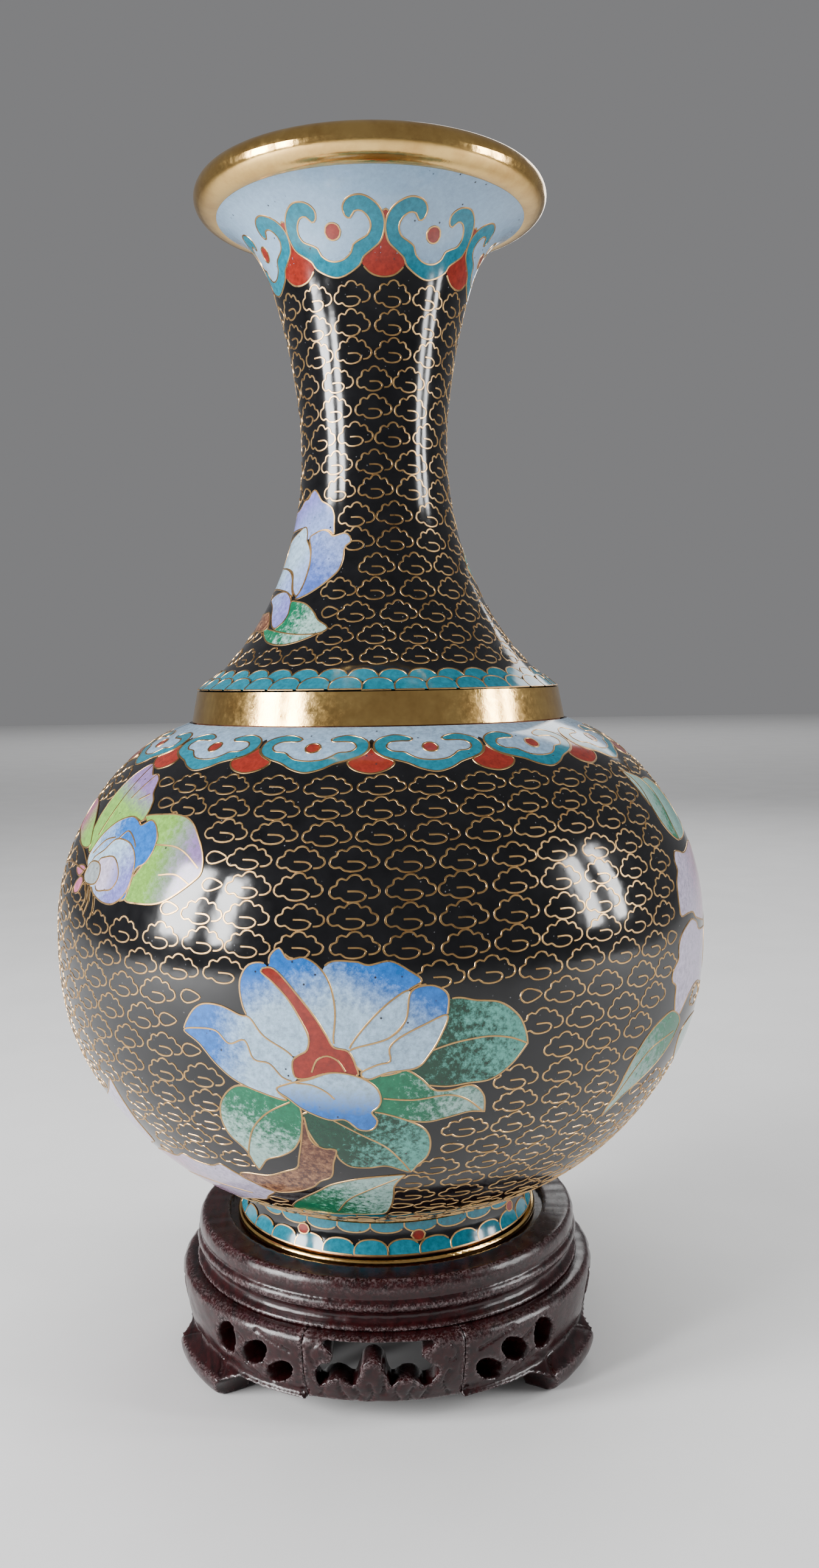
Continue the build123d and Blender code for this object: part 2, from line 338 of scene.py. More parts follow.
MATERIALS = {
    "black_enamel": black_enamel("black_enamel"),
    "colour_enamel": enamel("colour_enamel"),
    "pale_blue_enamel": enamel("pale_blue_enamel", PALE_BLUE, 0.12),
    "lining_enamel": enamel("lining_enamel", (0.12, 0.32, 0.48), 0.15),
    "brass": metal("polished_brass", (0.86, 0.56, 0.19), (0.55, 0.30, 0.09), 0.09, 0.22, 0.10),
    "wire": metal("brass_wire", (0.56, 0.35, 0.145), (0.32, 0.18, 0.08), 0.24, 0.44, 0.10),
    "copper": metal("raw_copper", (0.62, 0.30, 0.18), (0.26, 0.12, 0.08), 0.30, 0.50, 0.20),
    "wood": lacquered_wood("lacquered_wood"),
}


# --- mesh helpers ---
def new_piece(name, points, faces, body, material, replaced=(), smooth=math.radians(40)):
    """A mesh object in metres that rides on a body and stands for some CAD nodes."""
    mesh = bpy.data.meshes.new(name)
    mesh.from_pydata([tuple(p) for p in points], [], [tuple(int(i) for i in f) for f in faces])
    mesh.materials.append(MATERIALS[material])
    mesh.validate()
    mesh.shade_smooth()
    mesh.set_sharp_from_angle(angle=smooth)
    piece = bpy.data.objects.new(name, mesh)
    bpy.context.scene.collection.objects.link(piece)
    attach(piece, body)
    if replaced:
        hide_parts(*replaced)
    return piece


def lathe(name, section, body, material, replaced=()):
    """A closed section of (radius, height) points in mm, turned about the vase's axis."""
    count = len(section)
    turn = np.linspace(0, 2 * math.pi, TURN_STEPS, endpoint=False)
    points = []
    for angle in turn:
        for radius, height in section:
            x, y = radius * math.cos(angle), radius * math.sin(angle)
            points.append((x * MM, y * MM, height * MM))
    faces = []
    for step in range(TURN_STEPS):
        here = step * count
        there = (step + 1) % TURN_STEPS * count
        for i in range(count):
            j = (i + 1) % count
            faces.append((here + i, there + i, there + j, here + j))
    return new_piece(name, points, faces, body, material, replaced)


def coat(name, wall, low, high, node_name, material="black_enamel"):
    """A band of ground enamel between two ups of a wall, with its real thickness."""
    outer = wall.section(low, high, 0)
    inner = wall.section(low, high, COAT)[::-1]
    return lathe(name, outer + inner, "vase", material, [node_name])


# --- drawing on the wall ---
def smooth_line(points, closed=False, step=WIRE_STEP):
    """A flowing line through given points; a point given twice makes a corner."""
    points = [np.array(p, float) for p in points]
    count = len(points)
    line = []
    for i in range(count if closed else count - 1):
        before = points[(i - 1) % count] if closed or i > 0 else points[0]
        start, end = points[i], points[(i + 1) % count]
        after = points[(i + 2) % count] if closed or i < count - 2 else points[-1]
        gap = np.linalg.norm(end - start)
        if gap < 1e-6:
            continue
        pieces = max(1, round(gap / step))
        for k in range(pieces):
            t = k / pieces
            line.append(
                0.5 * (2 * start + (end - before) * t
                       + (2 * before - 5 * start + 4 * end - after) * t * t
                       + (3 * start - before - 3 * end + after) * t * t * t)
            )
    if not closed:
        line.append(points[-1])
    return np.array(line)


def inside(polygon, points):
    """Which of the points lie inside a closed polygon."""
    x, y = points[:, 0], points[:, 1]
    result = np.zeros(len(points), bool)
    nxt = np.roll(polygon, -1, axis=0)
    for (x0, y0), (x1, y1) in zip(polygon, nxt):
        if y0 == y1:
            continue
        crosses = (y0 > y) != (y1 > y)
        result ^= crosses & (x < (x1 - x0) * (y - y0) / (y1 - y0) + x0)
    return result


class Drawing:
    """Cells and wires on one wall, turned into one mesh of each kind."""

    def __init__(self, wall):
        self.wall = wall
        self.girth = 2 * math.pi * wall.reference
        self.cells = []
        self.wires = []
        self.at()

    def at(self, across=0.0, up=0.0, size=1.0, flip=1, tints=None):
        """Places what is drawn next: shifted, scaled, mirrored or with some colours swapped."""
        self.shift = np.array((across, up))
        self.scale = np.array((size * flip, size))
        self.tints = tints or {}

    def put(self, points):
        return np.array(points, float) * self.scale + self.shift

    def cell(self, points, near, far=None, start=(0, 0), end=(0, 1), wired=True):
        """A coloured cell that shades from the near colour at start to the far one at end."""
        outline = smooth_line(self.put(points), closed=True)
        layer = self.layer_over(outline) + 1
        far = far or near
        near, far = self.tints.get(near, near), self.tints.get(far, far)
        self.cells.append((outline, near, far, *self.put([start, end]), layer))
        if wired:
            self.wires.append((np.vstack([outline, outline[:1]]), layer, len(self.cells)))

    def wire(self, points):
        line = smooth_line(self.put(points))
        self.wires.append((line, self.layer_over(line), len(self.cells)))

    def layer_over(self, line):
        """The highest layer among the cells that a line's box touches, at any turn of the vase."""
        low, high = line.min(0), line.max(0)
        top = 0
        for outline, *_, layer in self.cells:
            for turn in (-self.girth, 0, self.girth):
                starts_before = (outline.min(0) + (turn, 0) < high).all()
                ends_after = (outline.max(0) + (turn, 0) > low).all()
                if starts_before and ends_after:
                    top = max(top, layer)
        return top

    def hidden_share(self, points):
        """How much of a line, in place, the cells drawn so far would hide."""
        return self.covered(smooth_line(self.put(points)), 0).mean()

    def covered(self, points, since):
        """Which points are hidden by cells drawn after a given one, at any turn of the vase."""
        result = np.zeros(len(points), bool)
        for outline, *_ in self.cells[since:]:
            for turn in (-self.girth, 0, self.girth):
                moved = points - (turn, 0)
                low, high = outline.min(0), outline.max(0)
                near = ((moved >= low) & (moved <= high)).all(1)
                if near.any():
                    result[near] |= inside(outline, moved[near])
        return result

    def visible_runs(self, line, since):
        """The stretches of a line that no later cell covers."""
        hidden = self.covered(line, since)
        runs, run = [], []
        for point, gone in zip(line, hidden):
            if gone:
                runs.append(run)
                run = []
            else:
                run.append(point)
        runs.append(run)
        return [np.array(r) for r in runs if len(r) > 2]

    def fill(self, outline):
        """Points in and on an outline, close enough to follow the wall, and their triangles."""
        widening = self.wall.reference / self.wall.radius_at(outline[:, 1].mean())
        low, high = outline.min(0), outline.max(0)
        columns = np.arange(low[0], high[0], CELL_GRID * widening)
        rows = np.arange(low[1], high[1], CELL_GRID)
        grid = np.stack(np.meshgrid(columns, rows), -1).reshape(-1, 2)
        everything = [Vector(p) for p in np.vstack([outline, grid[inside(outline, grid)]])]
        edges = [(i, (i + 1) % len(outline)) for i in range(len(outline))]
        flat, _, triangles, *_ = delaunay_2d_cdt(everything, edges, [], 1, 1e-5)
        return np.array([tuple(v) for v in flat]), triangles

    def build_cells(self, name):
        """All the cells as one mesh, with each point's two colours and its share between them."""
        points, faces, nears, fars, shares, grains = [], [], [], [], [], []
        for outline, near, far, start, end, layer in self.cells:
            flat, triangles = self.fill(outline)
            placed, _ = self.wall.place(flat[:, 0], flat[:, 1], CELL_LIFT + LAYER_STEP * layer)
            along = end - start
            shares += list(np.clip(((flat - start) @ along) / (along @ along), -1, 2))
            grains += [1.0 if near in GRAINY or far in GRAINY else 0.3] * len(flat)
            faces += [tuple(i + len(points) for i in t) for t in triangles]
            points += [tuple(p) for p in placed]
            nears += [(*near, 1)] * len(flat)
            fars += [(*far, 1)] * len(flat)
        piece = new_piece(name, points, faces, "vase", "colour_enamel")
        for label, values in (("near", nears), ("far", fars)):
            paint = piece.data.color_attributes.new(label, "FLOAT_COLOR", "POINT")
            paint.data.foreach_set("color", np.array(values).ravel())
        for label, values in (("share", shares), ("grain", grains)):
            piece.data.attributes.new(label, "FLOAT", "POINT").data.foreach_set("value", values)

    def build_wires(self, name):
        """Wires as flat-topped strips, let into the enamel and a little proud of it."""
        half = WIRE_WIDTH / 2
        top = half * WIRE_TOP
        section = [(-half, -WIRE_SUNK), (-top, WIRE_PROUD), (top, WIRE_PROUD), (half, -WIRE_SUNK)]
        points, faces = [], []
        for line, layer, since in self.wires:
            for run in self.visible_runs(line, since):
                lift = CELL_LIFT + LAYER_STEP * layer
                centre, normal = self.wall.place(run[:, 0], run[:, 1], lift)
                along = np.gradient(centre, axis=0)
                side = np.cross(normal, along)
                side /= np.maximum(np.linalg.norm(side, axis=1, keepdims=True), 1e-12)
                first = len(points)
                for c, n, s in zip(centre, normal, side):
                    points += [tuple(c + (s * x + n * y) * MM) for x, y in section]
                for k in range(len(run) - 1):
                    a, b = first + 4 * k, first + 4 * (k + 1)
                    faces += [(a + i, b + i, b + (i + 1) % 4, a + (i + 1) % 4) for i in range(4)]
                last = first + 4 * (len(run) - 1)
                faces += [(first + 3, first + 2, first + 1, first), (last, last + 1, last + 2, last + 3)]
        return new_piece(name, points, faces, "vase", "wire", smooth=math.radians(55))


def mirrored(half):
    """A closed outline from its right half, which starts and ends on the centre line."""
    return list(half) + [(-x, y) for x, y in reversed(half) if x != 0]


# --- motifs ---
CLOUD = [
    (-1.0, -0.3), (0.9, -0.35), (1.7, -0.9), (1.2, -1.6), (-0.1, -1.9), (-1.4, -1.75), (-2.1, -1.25),
    (-3.0, -1.35), (-3.7, -0.7), (-3.5, 0.2), (-2.7, 0.6), (-2.55, 1.25), (-1.9, 1.6), (-1.2, 1.4),
    (-0.7, 1.95), (0.1, 2.2), (0.9, 1.95), (1.3, 1.4), (2.0, 1.6), (2.6, 1.25), (2.8, 0.65), (3.6, 0.3),
    (3.8, -0.5), (3.1, -1.15), (2.1, -1.3),
]
TEARDROP = [(-1.9, 0), (-1.2, 0.9), (0.2, 1), (2.2, 0.1), (0.2, -0.9), (-1.2, -0.9)]


def draw_teardrops(d, across, up, size, step, stretch):
    """Two small drops, each left out where a cell would hide any of it."""
    drop = [(x * stretch * 0.9, y) for x, y in TEARDROP]
    for side in (-0.27, 0.27):
        d.at(across + side * step, up, size)
        if d.hidden_share(drop) == 0:
            line = smooth_line(d.put(drop), closed=True)
            d.wires.append((np.vstack([line, line[:1]]), 0, 0))


def draw_clouds(d, low, high, pitch, width, fewest=0):
    """Rows of curled cloud wires, each row half a cloud on from the one below.

    A cloud that a flower hides much of becomes a pair of teardrops, or nothing.
    """
    rows = round((high - low) / pitch)
    for row in range(rows + 1):
        up = low + (high - low) * row / rows
        girth_here = 2 * math.pi * d.wall.radius_at(up)
        count = max(fewest, round(girth_here / width))
        step = d.girth / count
        for i in range(count):
            across = (i + 0.5 * (row % 2)) * step - d.girth / 2 + dice.uniform(-0.3, 0.3)
            height = up + dice.uniform(-0.15, 0.15)
            size = pitch / CLOUD_HEIGHT * dice.uniform(0.96, 1.04)
            stretch = step / CLOUD_LENGTH / size
            shape = [(x * stretch, y) for x, y in CLOUD]
            d.at(across, height, size)
            hidden = d.hidden_share(shape)
            if hidden < 0.22:
                d.wires.append((smooth_line(d.put(shape), step=CLOUD_STEP), 0, 0))
            elif hidden < 0.85:
                draw_teardrops(d, across, height, size, step, stretch)
    d.at()


SHOULDER_BAND = [
    (0, 91.4), (3, 92.1), (5.5, 93.3), (8.5, 94.2), (10.8, 95.2), (12, 96.7), (11.9, 98.4), (10.3, 99.8),
    (7.5, 100.6), (5, 100.2), (3.4, 99.3), (4.2, 98.6), (6.3, 98.6), (8.5, 98.3), (9.4, 97.1), (8.2, 96),
    (5.8, 95.7), (4.5, 94.9), (2.8, 94.1), (0, 93.8),
]
SHOULDER_TONGUE = [
    (-4.6, 93.6), (-3.2, 92), (0, 91.2), (3.2, 92), (4.6, 93.5), (2.5, 94.6), (1, 95.6), (0, 96.8),
    (-1, 95.6), (-2.5, 94.6),
]
NECK_BAND = [
    (0, 72.3), (2.2, 72.8), (4.4, 74), (5.2, 75.2), (6.8, 76.3), (8.3, 77.5), (8.9, 79.5), (8.6, 81.4),
    (7.4, 83.2), (5.4, 84.5), (3.4, 84.2), (2.3, 82.8), (2.5, 81.4), (3.3, 81), (4.1, 82), (5.2, 82),
    (6.2, 81), (6.6, 79.7), (6, 78.4), (4.4, 77.6), (3.4, 77), (2.9, 75.9), (1.6, 75), (0, 74.7),
]
NECK_TONGUE = [
    (0, 72.2), (2.2, 72.6), (3.8, 73.8), (4.3, 75), (2.8, 76.2), (1.4, 77.6), (0.8, 79.5), (0.7, 81.5),
    (0, 82.3),
]


def draw_lappets(d, band, tongue, count, turn, outer_points, dot, dot_size, top):
    """Pale lappets with turquoise cloud-collar bands, red dots, and red tongues between.

    The first outer_points of a band run round its outside. A dot's middle is at the up dot.
    """
    pitch = d.girth / count
    half = pitch / 2
    outer = band[:outer_points]
    pale = mirrored(outer + [(half, outer[-1][1] + 0.9)] * 2 + [(half, top)] * 2 + [(0, top)])
    centres = [turn + pitch * i for i in range(count)]
    for centre in centres:
        d.at(centre)
        d.cell(pale, PALE_BLUE, wired=False)
    for centre in centres:
        d.at(centre + half)
        d.cell(tongue, BRICK)
    widening = d.wall.reference / d.wall.radius_at(dot)
    angles = np.linspace(0, 2 * math.pi, 10, endpoint=False)
    spot = [(dot_size * widening * math.cos(a), dot + dot_size * math.sin(a)) for a in angles]
    for centre in centres:
        d.at(centre)
        d.cell(mirrored(band), TURQUOISE)
        d.cell(spot, BRICK)
    d.at()


def draw_scallops(d, low, height, count, colour, offset=0.0, hanging=False):
    """A row of round-headed petals, upright or hanging."""
    half = d.girth / count / 2
    rise = -height if hanging else height
    shape = [
        (-half, 0), (-half, 0), (-half, rise * 0.45), (-0.66 * half, rise * 0.86), (0, rise),
        (0.66 * half, rise * 0.86), (half, rise * 0.45), (half, 0), (half, 0),
    ]
    for i in range(count):
        d.at((2 * i + offset) * half, low)
        d.cell(shape, colour)
    d.at()


def draw_magnolia(d):
    """The open magnolia with its leaves and branch, drawn from the back to the front."""
    d.cell([
        (9.5, 57.3), (13, 56.8), (16.5, 56.2), (19.3, 54), (20.5, 51.5), (20.8, 49.8), (20.8, 49.8),
        (18.5, 47), (15.5, 45), (12, 44.7), (8, 44.5), (3, 46), (2, 50), (6, 55),
    ], DEEP_GREEN, TEAL, (7, 50), (18, 52))
    d.wire([(6.5, 50), (10, 51), (14.5, 51.5), (18, 51), (20.8, 49.8)])
    d.cell([
        (-2, 46), (2.5, 47.3), (5, 46), (7, 44), (9.5, 43.8), (12.5, 44.3), (14.5, 42.5), (15, 39.5),
        (15, 39.5), (12.5, 39.8), (9, 39), (6, 38.5), (2, 39.3), (-1.5, 40.5), (-3, 43),
    ], GREEN, PALE_GREEN, (3, 43), (12, 42))
    d.wire([(-1, 43), (4, 42.5), (9, 43), (12, 42), (14.8, 39.5)])
    d.cell([
        (-12.3, 40), (-12, 37), (-10.5, 33.5), (-8.3, 33), (-7.7, 31), (-6, 29.3), (-3, 29), (0, 29.4),
        (2.5, 28.3), (4.2, 27.7), (5.3, 29.3), (6.8, 31.5), (7, 34.5), (6, 37), (3.5, 38.8), (-1, 40.5),
        (-6, 41),
    ], DEEP_GREEN, TEAL, (-4, 37), (4.5, 32))
    d.wire([(-8, 39.2), (-4, 36.5), (0, 33.7), (2.5, 30.5), (4.2, 27.7)])
    d.cell([
        (-22, 44), (-25, 41.5), (-26.3, 38), (-26, 34.5), (-24, 31.3), (-23.7, 28.5), (-23.3, 26.5),
        (-23.3, 26.5), (-22, 28), (-20.5, 29.7), (-17.5, 31), (-14.8, 33), (-13, 36.5), (-12.5, 40.5),
        (-13.5, 42.5), (-18, 43.5),
    ], GREEN, PALE_GREEN, (-18, 40), (-22, 33))
    d.wire([(-14, 42), (-18, 39.7), (-21, 36.5), (-23, 32.5), (-24, 30)])
    d.cell([
        (-12.3, 39.5), (-11.8, 35), (-10, 33.3), (-8, 33), (-8.8, 30), (-9.7, 26.5), (-12, 25), (-14, 23),
        (-18, 21), (-23, 20), (-27, 22.3), (-28.5, 23.5), (-28.3, 24.5), (-26, 25), (-22, 25.2),
        (-18, 27), (-15.5, 28.3), (-14.5, 31), (-13.3, 35),
    ], BROWN, TAN, (-12, 52), (-12, 0))
    d.cell([
        (3.3, 27), (3.3, 27), (0, 26.8), (-5, 26), (-10, 24.2), (-13, 22), (-17, 19), (-20, 16.5),
        (-22, 14), (-21, 13), (-15, 12), (-8, 12.5), (-1, 13), (0.7, 16), (1.3, 20), (1.5, 24),
    ], GREEN, PALE_GREEN, (-13, 16), (-4, 23))
    d.wire([(2, 26), (-3, 23), (-7.5, 19.5), (-11, 14)])
    d.cell([
        (-8, 62.2), (-4, 62.8), (-2, 62.3), (1, 62.8), (3.5, 61.5), (5.3, 60), (3.5, 58.8), (0, 56),
        (-3, 52.5), (-5, 50), (-9, 50), (-9, 56),
    ], SKY, WHITE_BLUE, (0, 61.5), (-3, 56))
    d.cell([
        (3.5, 58.7), (1, 57.3), (-1.5, 55), (-4, 52), (-4.8, 50.3), (-2.5, 51), (0.5, 52), (2.7, 54),
        (3.8, 56.5),
    ], WHITE_BLUE)
    d.cell([
        (3.8, 58.5), (6.5, 59.3), (8.6, 58.3), (9, 56.5), (8, 53), (4, 48), (-1, 46.5), (-4, 48),
        (-4.8, 50.3), (0.5, 52), (3, 54.5),
    ], SKY, WHITE_BLUE, (7.5, 57.5), (4, 52))
    d.cell([
        (8.8, 55), (5.5, 53.8), (2, 52), (0.7, 50.5), (0.8, 48.7), (-1, 48.2), (-3.3, 47), (-2.3, 46),
        (0.5, 47), (4.5, 47.6), (6.3, 49.5), (7.8, 52),
    ], WHITE_BLUE)
    d.cell([
        (-16, 62.3), (-15.8, 63.5), (-14.5, 64.5), (-13.2, 63), (-11, 63.3), (-8.8, 62), (-7.3, 59.5),
        (-6.7, 56), (-7, 52.5), (-7.5, 50.5), (-12, 50), (-14, 54), (-16, 59),
    ], SKY, WHITE_BLUE, (-13, 62.5), (-10, 56))
    d.cell([
        (-16.7, 62.3), (-19, 62), (-20.3, 60), (-20.3, 57.5), (-19.5, 55), (-17.5, 52.5), (-15, 50.5),
        (-12.8, 49.3), (-10.8, 50), (-10.5, 52), (-11.5, 54.5), (-13.5, 58), (-15.5, 60.5),
    ], SKY, WHITE_BLUE, (-18.5, 60.5), (-16, 56))
    d.cell([
        (-30, 51.7), (-28.5, 54.5), (-26.5, 55.9), (-23.5, 55.9), (-20.5, 54.8), (-19, 54.5), (-17, 52),
        (-13, 49.3), (-12.5, 46), (-14, 45.5), (-16.5, 47.8), (-19, 48.5), (-20, 51), (-22.5, 50.5),
        (-24.5, 52.2), (-27.5, 52.3),
    ], SKY, WHITE_BLUE, (-26, 54), (-20, 52))
    d.cell([
        (-30, 51.7), (-27.5, 52.3), (-24.5, 52.2), (-22.5, 50.5), (-20, 51.2), (-18.8, 48.5), (-16.5, 48),
        (-14.7, 46), (-13.2, 45.2), (-15.8, 44), (-14.5, 42.3), (-18, 43.2), (-22, 44.8), (-25, 47.2),
        (-27.5, 50),
    ], SKY, WHITE_BLUE, (-26, 49.5), (-20, 46.5))
    d.cell([
        (-17.2, 61.2), (-16.2, 61.8), (-14.7, 61.2), (-12, 58.2), (-9.5, 55), (-8, 52.5), (-7, 50.8),
        (-5, 50.2), (-4, 48), (-4, 46.5), (-8, 46.9), (-11, 46), (-12.8, 46.2), (-13, 48.5), (-12, 49.5),
        (-10.8, 50.3), (-10.5, 52.2), (-11.5, 54.5), (-13.3, 57.5), (-15.5, 59.8),
    ], BRICK)
    d.wire([(-10.3, 47), (-9.5, 48.8), (-8, 49.5), (-6.5, 48.8), (-5.5, 47.2)])
    d.cell([
        (-15.8, 44), (-14, 45), (-11, 45.8), (-7.5, 47), (-4, 46.5), (-1.5, 45), (-0.6, 43), (-1, 41.5),
        (-2, 40.5), (-1.2, 39), (-2, 37.4), (-4, 37.4), (-6, 39.2), (-8.5, 39.2), (-12, 40.8),
        (-14, 42.5),
    ], WHITE_BLUE, SKY, (-6, 45.5), (-6.5, 40.5))
    d.wire([(-12.8, 45.2), (-10.5, 45), (-8.5, 44), (-7.3, 42.8)])


def draw_butterfly(d):
    """The butterfly, wings first, then its body, feelers and legs."""
    d.cell([
        (-62, 83.5), (-61, 87), (-59, 90), (-56, 92), (-53.5, 91), (-51.5, 89.8), (-50, 90), (-48, 89),
        (-47, 87), (-46.5, 86.2), (-45.2, 85), (-44.8, 83), (-45.5, 81.5), (-49, 82), (-54, 80),
        (-57, 77), (-59, 75), (-61.5, 77.5), (-62.3, 80.5),
    ], LILAC, LIME, (-54, 88.5), (-55, 84))
    d.wire([(-58, 78), (-56.5, 84), (-55, 91.8)])
    d.wire([(-53, 85), (-51.5, 87.7), (-50, 89.8)])
    d.wire([(-50, 85), (-47.5, 86.2)])
    d.cell([
        (-76, 83), (-70, 83), (-65, 81), (-62, 78.5), (-60, 76), (-64, 75.5), (-70, 77), (-76, 78.5),
    ], ROSE, LIME, (-74, 81), (-65, 78))
    d.cell([
        (-45, 82.2), (-40, 83), (-36, 83), (-33, 82), (-30.5, 79.5), (-28.8, 77), (-28.3, 74.5),
        (-29.5, 73), (-33, 70.5), (-36, 69.3), (-40, 69), (-43, 69.3), (-42.5, 72), (-40.5, 75),
        (-39.3, 77.5), (-40, 80),
    ], LIME, LILAC, (-39, 79), (-31, 78))
    d.wire([(-39.5, 78), (-35, 78), (-32, 77), (-29, 75)])
    d.wire([(-36.5, 73.5), (-33, 73.8), (-30, 72.5)])
    d.cell([
        (-58, 73.5), (-57.5, 76.5), (-55.5, 79), (-52.5, 81), (-49, 82), (-46.5, 81.5), (-45, 80.8),
        (-43, 81.8), (-41, 81), (-39.5, 79), (-39.3, 77), (-40.3, 75), (-42, 74), (-42.5, 71), (-44, 69),
        (-52, 70),
    ], SKY, WHITE_BLUE, (-47, 80), (-56, 75))
    d.cell([
        (-56, 74), (-53, 76), (-50.5, 78), (-47, 78), (-44.5, 77), (-42.8, 75), (-42.5, 72),
        (-43.5, 69.8), (-46, 68.3), (-49, 68.2), (-52, 69), (-54.5, 70.5),
    ], LAVENDER, WHITE_BLUE, (-45, 70), (-50, 75))
    d.cell([
        (-53.5, 74), (-51.5, 75), (-49, 75.2), (-47, 74), (-46, 72.2), (-47, 70.5), (-49, 70), (-52, 70),
    ], PINK_WHITE, LAVENDER, (-50, 72), (-46, 72))
    d.wire([(-57, 75), (-54, 77.5), (-51, 78.3)])
    d.wire([(-50, 78), (-48, 79.6), (-45.5, 78.6), (-44, 77.3)])
    d.cell([
        (-57.5, 71.5), (-56.5, 73.5), (-54.5, 74), (-52.5, 73.5), (-51.8, 72), (-52.5, 70.7),
        (-54.5, 70.3), (-56.5, 70.5),
    ], GREY)
    d.cell([(-62.5, 72), (-60, 72.8), (-58, 72.5), (-60, 71)], ROSE)
    d.cell([(-61, 69.5), (-59, 71), (-57.5, 70.5), (-58.5, 68.7), (-60.5, 68.2)], ROSE)
    d.wire([(-57.5, 73), (-62, 75), (-68, 76)])
    d.wire([(-58, 72), (-66, 72.5), (-75, 71.5)])
    d.wire([(-56, 70.3), (-55, 68), (-56.5, 66)])
    d.wire([(-54.5, 70), (-53.8, 67.8), (-55, 65.5)])
    d.wire([(-53.5, 70), (-52, 68.5), (-51.8, 65.8)])


def draw_right_spray(d):
    """The pale magnolia and leaves that wrap round the right side."""
    d.cell([
        (57.3, 89), (60, 88), (64, 86.5), (70, 86), (76, 82), (78, 77), (72, 75), (63.5, 75), (60, 79),
    ], PALE_GREEN, TEAL, (62, 80), (74, 80))
    d.cell([
        (57.3, 89), (57.3, 89), (60, 88), (64, 86.5), (66, 84), (66, 81), (65, 78), (65, 75), (63.5, 75),
        (61, 76.5), (59.5, 79), (59.3, 81.5), (60, 84.5), (59.5, 86.5),
    ], PALE_GREEN, GREEN, (60, 83), (66, 80))
    d.cell([
        (65, 72.5), (62, 73), (59.5, 73.3), (58, 72), (58, 70.5), (56.5, 69), (55.7, 67), (55.5, 64.5),
        (56, 63.3), (59, 63.3), (62, 63), (65, 61.5), (76, 60), (84, 66), (76, 73),
    ], PINK_WHITE, ROSE, (60, 68), (80, 67))
    d.cell([
        (64, 61), (61, 62), (58, 61.5), (55.5, 60.5), (54.2, 59), (54, 57), (52.7, 56), (51.7, 55),
        (51.9, 53.7), (53.3, 52.8), (53.3, 51), (53.8, 48.8), (55, 46.8), (57, 48), (60, 50), (65, 51),
        (76, 49), (82, 54), (76, 58), (66, 59.5),
    ], PINK_WHITE, LILAC, (57, 56), (74, 54))
    d.cell([
        (60, 44), (60, 41), (63, 38), (68, 36), (76, 35), (84, 39), (76, 43), (66, 45),
    ], PALE_GREEN, GREEN, (62, 42), (78, 39))
    d.cell([
        (53, 48.8), (49, 48.2), (45.5, 46.5), (43, 43.8), (41.8, 41), (41.5, 39.5), (40.8, 36.5),
        (40.2, 34.5), (40.3, 33), (40.3, 33), (41.5, 34.3), (44, 36.5), (47, 38), (51, 40), (54, 42),
        (56, 44), (57, 46.5),
    ], PALE_GREEN, GREEN, (42, 37), (51, 44))
    d.wire([(41, 36), (44, 41), (48, 44), (55, 45)])


def draw_left_spray(d):
    """The broad pale petals low on the left side."""
    d.cell([
        (-82, 27), (-76, 30.5), (-68, 31.5), (-62, 33.5), (-57, 36), (-52.5, 39.5), (-52.5, 39.5),
        (-52.3, 36), (-52.2, 31), (-52, 26), (-56, 24), (-61, 21.8), (-66, 20.3), (-70, 22.5), (-76, 26),
    ], PINK_WHITE, LAVENDER, (-56, 32), (-74, 27))
    d.cell([
        (-42, 25.8), (-39, 24.8), (-35, 24.8), (-32, 26), (-30, 24.5), (-27, 22.3), (-23, 20.3),
        (-26, 17.5), (-28, 15.5), (-33, 14), (-45, 9), (-60, 6), (-76, 5), (-88, 9), (-76, 13), (-66, 16),
        (-60, 20.5), (-52, 23.3), (-46, 24),
    ], PINK_WHITE, ROSE, (-34, 21), (-56, 13))
    d.wire([(-30, 17.5), (-40, 18), (-50, 17), (-60, 13.5), (-70, 9.5)])


